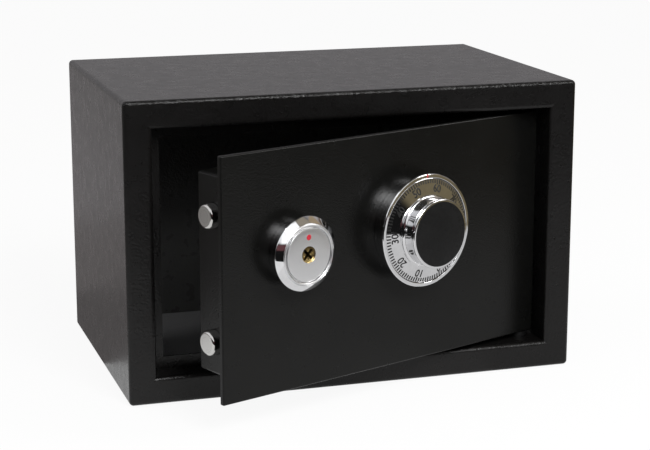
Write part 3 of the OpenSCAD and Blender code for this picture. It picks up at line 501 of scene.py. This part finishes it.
def dial_ticks():
    points, faces = [], []
    for n in range(GRADUATIONS):
        length = next(size for step, size in TICKS.items() if n % step == 0)
        centre = ZERO_AT + PER_GRADUATION * n
        base = len(points)
        for lift in (-MARK_SUNK, MARK_T):
            for r in (TICK_OUT - length, TICK_OUT):
                half = math.degrees(TICK_W / 2 / r)
                points += [on_dial(r, centre - half, lift), on_dial(r, centre + half, lift)]
        faces += [[base + k for k in quad] for quad in (
            (0, 1, 3, 2), (4, 5, 7, 6), (0, 1, 5, 4), (2, 3, 7, 6), (0, 2, 6, 4), (1, 3, 7, 5))]
    mesh_piece("dial_ticks", points, faces, MARKING_BLACK, "dial_set")


def text_mesh(text, height, thickness):
    """Mesh of plain digits, centred on the origin, height tall, in mm."""
    curve = bpy.data.curves.new("digits", "FONT")
    curve.body = text
    curve.align_x = "CENTER"
    curve.align_y = "CENTER"
    curve.size = height / DIGIT_SHARE
    curve.extrude = thickness / 2
    curve.offset = DIGIT_BOLDER
    curve.resolution_u = 4
    holder = bpy.data.objects.new("digits", curve)
    bpy.context.scene.collection.objects.link(holder)
    bpy.context.view_layer.update()
    mesh = bpy.data.meshes.new_from_object(holder)
    bpy.data.objects.remove(holder)
    points = [v.co.copy() for v in mesh.vertices]
    faces = [list(p.vertices) for p in mesh.polygons]
    bpy.data.meshes.remove(mesh)
    middle = [(min(p[k] for p in points) + max(p[k] for p in points)) / 2 for k in range(2)]
    return [(p[0] - middle[0], p[1] - middle[1], p[2]) for p in points], faces


def dial_numbers():
    points, faces = [], []
    for n in range(0, GRADUATIONS, 10):
        digits, digit_faces = text_mesh(str(n), NUMBER_H, MARK_T)
        base = len(points)
        for x, y, z in digits:
            turn = ZERO_AT + PER_GRADUATION * n + math.degrees(x / NUMBER_R)
            points.append(on_dial(NUMBER_R + y, turn, z + MARK_T / 2))
        faces += [[base + k for k in face] for face in digit_faces]
    mesh_piece("dial_numbers", points, faces, MARKING_BLACK, "dial_set")


dial_ticks()
dial_numbers()

# the mark at the top of the fixed ring, that the dial is read against
INDEX_HALF_W, INDEX_IN, INDEX_OUT = 0.55, 34.7, 36.9
filled_seat("index_mark", [(-INDEX_HALF_W, INDEX_IN), (INDEX_HALF_W, INDEX_IN),
                           (INDEX_HALF_W, INDEX_OUT), (-INDEX_HALF_W, INDEX_OUT)],
            floor=15.9, rim=16.17, dome=0.03,
            centre=DIAL_AT, material=MARKING_RED, body="door")

# the red dot above the keyway
DOT_UP, DOT_R = 10.9, 1.75
filled_seat("lock_dot", arc(0, DOT_UP, DOT_R, 0, 345, 23),
            floor=14.9, rim=15.05, dome=0.08,
            centre=LOCK_AT, material=MARKING_RED, body="door")


# ------------------------------------------------------------------ turned pieces, mm

# the lock's front: a rounded rim, a groove, and the brushed face inside it
LOCK_NECK_R, LOCK_NECK_H = 19.5, 9.5
FLANGE_R, FLANGE_H, FLANGE_ROUND = 22.95, 11.5, 0.8   # middle of the rounded outer edge
LIP_R, LIP_H, LIP_ROUND = 18.55, 14.4, 0.9            # middle of the rounded inner lip
GROOVE_R = 17.65                                      # outside of the groove
SEAT_R, SEAT_H = 13.6, 13.6                           # hole behind the face, groove's floor
FACE_R, FACE_H, FACE_ROUND = 16.75, 15.0, 0.3
PLUG_HOLE_R = 5.31
LIP_FOOT = [(19.6, 14.95), (19.4, 14.75)]             # step between the flange and the lip

rim = lathe("lock_rim", [(SEAT_R, 0), (LOCK_NECK_R, 0), (LOCK_NECK_R, LOCK_NECK_H)]
            + arc(FLANGE_R, FLANGE_H, FLANGE_ROUND, -60, 45, 8)
            + LIP_FOOT + arc(LIP_R, LIP_H, LIP_ROUND, 35, 180, 14)
            + [(GROOVE_R, SEAT_H), (SEAT_R, SEAT_H)],
            LOCK_AT, BY_NODE["lock_bezel"], "door")
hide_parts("lock_bezel")
face = lathe("lock_front", [(PLUG_HOLE_R, SEAT_H), (FACE_R, SEAT_H)]
             + arc(FACE_R - FACE_ROUND, FACE_H - FACE_ROUND, FACE_ROUND, 0, 90, 5)
             + [(PLUG_HOLE_R, FACE_H)],
             LOCK_AT, FINISHES["lock_face_steel"], "door")
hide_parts("lock_face")

# the bolts: rounded all round at the end, with a blind hole for the screw in the back
BOLT_R, BOLT_ROUND, BOLT_LENGTH = 8.0, 1.9, 27.0
SCREW_HOLE_R, SCREW_HOLE_FROM_TIP = 3.02, 16
POLISHED_INSET = 0.3                                  # of the polish, on the rounding
for bolt in ("bolt_upper", "bolt_lower"):
    low, high = box_of(bolt)
    tip = (low + high) / 2 - RIGHT * BOLT_LENGTH / 2 * MM
    turned = turned_bolt(bolt, tip, RIGHT, (BOLT_R - BOLT_ROUND + POLISHED_INSET) * MM)
    piece = lathe(f"{bolt}_turned", [(0, 0)]
                  + arc(BOLT_R - BOLT_ROUND, -BOLT_ROUND, BOLT_ROUND, 90, 0, 12)
                  + [(BOLT_R, -BOLT_LENGTH), (SCREW_HOLE_R, -BOLT_LENGTH),
                     (SCREW_HOLE_R, -SCREW_HOLE_FROM_TIP), (0, -SCREW_HOLE_FROM_TIP)],
                  tip, turned, "bolts", -RIGHT)
    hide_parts(bolt)

# the knob: a straight waist on a small fillet, a rounded grip edge and a seat for the black cap
SPINDLE_R = 4.02
BORE_R, BORE_FROM = 4.2, 21.2                         # wider hole for the knob's screw
FOOT_R = 23.75
FILLET_R, FILLET_H, FILLET_ROUND = 23.6, 20.2, 1.8    # middle of the fillet at the foot
GRIP_UNDER = [(20.9, 25.2), (21.0, 25.6), (22.3, 26.1), (22.5, 26.5)]
GRIP_R, GRIP_H, GRIP_ROUND = 21.95, 28.5, 0.8         # middle of the rounded edge
KNOB_H = 29.3
CAP_SEAT_R, CAP_SEAT_H = 21.2, 28.6
CAP_R, CAP_ROUND_H, CAP_ROUND = 20.75, 28.9, 0.4      # middle of the cap's rounded edge
CAP_RINGS = (14, 7, 0)                                # its flat front, divided for even shading

knob = lathe("knob_turned", [(SPINDLE_R, CONE_H), (FOOT_R, CONE_H)]
             + arc(FILLET_R, FILLET_H, FILLET_ROUND, 270, 190, 8)
             + GRIP_UNDER + arc(GRIP_R, GRIP_H, GRIP_ROUND, 0, 90, 10)
             + [(CAP_SEAT_R, KNOB_H), (CAP_SEAT_R, CAP_SEAT_H),
                (BORE_R, CAP_SEAT_H), (BORE_R, BORE_FROM), (SPINDLE_R, BORE_FROM)],
             DIAL_AT, FINISHES["chrome"], "dial_set")
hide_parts("dial_knob")
inlay = lathe("knob_cap", [(0, CAP_SEAT_H), (CAP_R + CAP_ROUND, CAP_SEAT_H)]
              + arc(CAP_R, CAP_ROUND_H, CAP_ROUND, 0, 90, 6)
              + [(r, KNOB_H) for r in CAP_RINGS],
              DIAL_AT, FINISHES["black_inlay"], "dial_set")
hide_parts("knob_inlay")


# ------------------------------------------------------------------ studio

# What polished metal sees of the floor: a white table that ends in front of the safe, in a dim
# room. The table's front edge lies further forward in three steps, from left to right.
FAR = 6
TABLE = 0.50                                          # half the table's width
STEP_1, STEP_2 = -0.12, 0.10                          # where the front edge steps, along x
EDGE_1, EDGE_2, EDGE_3 = -0.49, -0.54, -0.61          # the front edge's y
BEHIND_1, BEHIND_2 = 0.20, 0.45                       # where it gets paler behind the safe
UNLIT = (0.010, 0.010, 0.010)
FLOOR_ZONES = (                    # x0, y0, x1, y1, colour in a reflection, how much of it is that
    (-TABLE, EDGE_1, STEP_1, 0.0, (1.0, 1.0, 1.0), 0.8),
    (STEP_1, EDGE_2, STEP_2, 0.0, (0.85, 0.85, 0.85), 0.8),
    (STEP_2, EDGE_3, TABLE, 0.0, (0.65, 0.65, 0.65), 0.8),
    (-TABLE, 0.0, TABLE, BEHIND_1, (0.28, 0.26, 0.26), 1.0),
    (-TABLE, BEHIND_1, TABLE, BEHIND_2, (0.40, 0.37, 0.37), 1.0),
    (-TABLE, BEHIND_2, TABLE, FAR, (0.53, 0.50, 0.51), 1.0),
    (-FAR, EDGE_1, -TABLE, FAR, (0.28, 0.27, 0.26), 1.0),
    (TABLE, EDGE_1, FAR, FAR, (0.20, 0.166, 0.10), 1.0),
    (-FAR, -FAR, STEP_1, EDGE_1, UNLIT, 1.0),
    (STEP_1, -FAR, STEP_2, EDGE_2, UNLIT, 1.0),
    (STEP_2, -FAR, TABLE, EDGE_3, UNLIT, 1.0),
    (TABLE, -FAR, FAR, EDGE_1, UNLIT, 1.0),
)
FLOOR_Z = -0.0005
FLOOR_COLOUR = (0.82, 0.82, 0.82, 1)
CAMERA_SHARE = 0.92                # of the floor's white that the camera sees without shading


def floor_material(name, reflection, mirror_share):
    """Pale floor that takes the object's shadow; metal sees it as the colour reflection."""
    s = Shader(name)
    s.set(Base_Color=FLOOR_COLOUR, Roughness=0.9, Specular_IOR_Level=0.2)
    path = s.tree.nodes.new("ShaderNodeLightPath")
    output = s.tree.nodes["Material Output"]
    shader = s.bsdf.outputs["BSDF"]
    for ray, share, colour in (("Is Camera Ray", CAMERA_SHARE, (1, 1, 1)),
                               ("Is Glossy Ray", mirror_share, reflection)):
        glow = s.tree.nodes.new("ShaderNodeEmission")
        glow.inputs["Color"].default_value = (*colour, 1)
        mix = s.tree.nodes.new("ShaderNodeMixShader")
        s.link(s.math("MULTIPLY", path.outputs[ray], share), mix.inputs["Fac"])
        s.link(shader, mix.inputs[1])
        s.link(glow.outputs["Emission"], mix.inputs[2])
        shader = mix.outputs["Shader"]
    s.link(shader, output.inputs["Surface"])
    return s.material


def floor():
    for k, (x0, y0, x1, y1, *reflection) in enumerate(FLOOR_ZONES):
        mesh = bpy.data.meshes.new(f"floor_{k}")
        corners = [(x0, y0, 0), (x1, y0, 0), (x1, y1, 0), (x0, y1, 0)]
        mesh.from_pydata(corners, [], [(0, 1, 2, 3)])
        mesh.materials.append(floor_material(f"floor_{k}", *reflection))
        sheet = bpy.data.objects.new(f"floor_{k}", mesh)
        sheet.location.z = FLOOR_Z
        bpy.context.scene.collection.objects.link(sheet)


# what metal sees of the room: azimuth from and to (0 in front, + to the right), elevation from
# and to, and how soft the edge is, all in degrees, then the colour
ROOM = (
    (-126, -16, 20, 68, 4, (1.05, 1.05, 1.07)),       # pale wall on the left
    (-126, -78, 8, 68, 4, (1.05, 1.05, 1.07)),
    (-18, 42, 19, 60, 3, (1.5, 1.5, 1.5)),            # the soft front light's screen
    (43, 81, 38, 60, 3, (0.36, 0.32, 0.26)),          # wall above the side light
    (43, 80, 16, 37, 3, (1.0, 0.98, 0.94)),           # side light
    (82, 104, 22, 44, 2, (0.42, 0.33, 0.22)),         # wall on the right
    (105, 130, 0, 26, 4, (0.13, 0.09, 0.06)),
    (43, 100, -16, 13, 3, (0.20, 0.166, 0.10)),       # wooden furniture on the right
    (-30, 6, 5, 17, 2, (0.15, 0.065, 0.07)),          # something reddish in front
)
BACKDROP = (0.47, 0.452, 0.465)
BACKDROP_FROM = (-0.3, 0.2)                           # y of the view direction where it begins
DARK = (0.012, 0.012, 0.012)
CEILING = (0.06, 0.057, 0.05)
CEILING_FROM = (52, 66)                               # elevation, degrees


def room():
    world = bpy.data.worlds.new("studio")
    bpy.context.scene.world = world
    world.use_nodes = True
    tree = world.node_tree
    tree.nodes.clear()
    link = tree.links.new

    def math_node(operation, a, b=0.0):
        node = tree.nodes.new("ShaderNodeMath")
        node.operation = operation
        for socket, value in zip(node.inputs, (a, b)):
            if isinstance(value, (int, float)):
                socket.default_value = value
            else:
                link(value, socket)
        return node.outputs["Value"]

    def step(value, low, high):
        """0 below low, 1 above high, smooth between."""
        node = tree.nodes.new("ShaderNodeMapRange")
        node.interpolation_type = "SMOOTHSTEP"
        node.inputs["From Min"].default_value = low
        node.inputs["From Max"].default_value = high
        link(value, node.inputs["Value"])
        return node.outputs["Result"]

    def edge(value, at, soft):
        return step(value, at - soft, at + soft)

    def blend(share, below, above):
        node = tree.nodes.new("ShaderNodeMix")
        node.data_type = "RGBA"
        for index, value in ((6, below), (7, above)):
            if isinstance(value, tuple):
                node.inputs[index].default_value = (*value, 1.0)
            else:
                link(value, node.inputs[index])
        link(share, node.inputs[0])
        return node.outputs[2]

    coords = tree.nodes.new("ShaderNodeTexCoord")
    split = tree.nodes.new("ShaderNodeSeparateXYZ")
    link(coords.outputs["Generated"], split.inputs["Vector"])
    x, y, z = (split.outputs[axis] for axis in "XYZ")
    to_degrees = 180 / math.pi
    turn = math_node("ARCTAN2", x, math_node("MULTIPLY", y, -1.0))
    azimuth = math_node("MULTIPLY", turn, to_degrees)
    elevation = math_node("MULTIPLY", math_node("ARCSINE", z), to_degrees)

    colour = blend(step(y, *BACKDROP_FROM), DARK, BACKDROP)
    colour = blend(step(elevation, *CEILING_FROM), colour, CEILING)
    for a0, a1, e0, e1, soft, patch in ROOM:
        inside = math_node("MULTIPLY", edge(azimuth, a0, soft), edge(elevation, e0, soft))
        outside = math_node("MAXIMUM", edge(azimuth, a1, soft), edge(elevation, e1, soft))
        share = math_node("MULTIPLY", inside, math_node("SUBTRACT", 1.0, outside))
        colour = blend(share, colour, patch)

    studio = tree.nodes.new("ShaderNodeBackground")
    link(colour, studio.inputs["Color"])
    white = tree.nodes.new("ShaderNodeBackground")
    white.inputs["Color"].default_value = (1, 1, 1, 1)
    path = tree.nodes.new("ShaderNodeLightPath")
    mix = tree.nodes.new("ShaderNodeMixShader")
    out = tree.nodes.new("ShaderNodeOutputWorld")
    link(path.outputs["Is Camera Ray"], mix.inputs["Fac"])
    link(studio.outputs["Background"], mix.inputs[1])
    link(white.outputs["Background"], mix.inputs[2])
    link(mix.outputs["Shader"], out.inputs["Surface"])


def softbox(name, azimuth, elevation, distance, width, height, power):
    """Area lamp facing the object; azimuth 0 is in front (-Y), positive to the right."""
    aim = Vector((0, 0, 0.1))
    a, e = math.radians(azimuth), math.radians(elevation)
    towards = Vector((math.sin(a) * math.cos(e), -math.cos(a) * math.cos(e), math.sin(e)))
    place = aim + towards * distance
    lamp = bpy.data.lights.new(name, "AREA")
    lamp.shape = "RECTANGLE"
    lamp.size = width
    lamp.size_y = height
    lamp.energy = power
    holder = bpy.data.objects.new(name, lamp)
    holder.location = place
    holder.rotation_euler = (aim - place).to_track_quat("-Z", "Y").to_euler()
    bpy.context.scene.collection.objects.link(holder)


floor()
room()
softbox("front", azimuth=6, elevation=37, distance=1.5, width=0.5, height=0.5, power=16)
softbox("side", azimuth=60, elevation=26, distance=1.6, width=0.55, height=0.5, power=7)


# ------------------------------------------------------------------ camera

CAMERA_AT = (-0.365925, -1.19684, 0.37924)
CAMERA_TURN = 17.38                                   # to the right of +Y, degrees
CAMERA_DOWN = 13.08                                   # degrees
SENSOR_MM = 36.0
FOCAL_PX = 1800.1
FRAME_PX = 650


def camera():
    data = bpy.data.cameras.new("camera")
    data.sensor_width = SENSOR_MM
    data.lens = FOCAL_PX / FRAME_PX * data.sensor_width
    holder = bpy.data.objects.new("camera", data)
    holder.location = CAMERA_AT
    holder.rotation_euler = (math.radians(90 - CAMERA_DOWN), 0, math.radians(-CAMERA_TURN))
    bpy.context.scene.collection.objects.link(holder)
    bpy.context.scene.camera = holder


camera()
bpy.context.scene.view_settings.view_transform = "Standard"
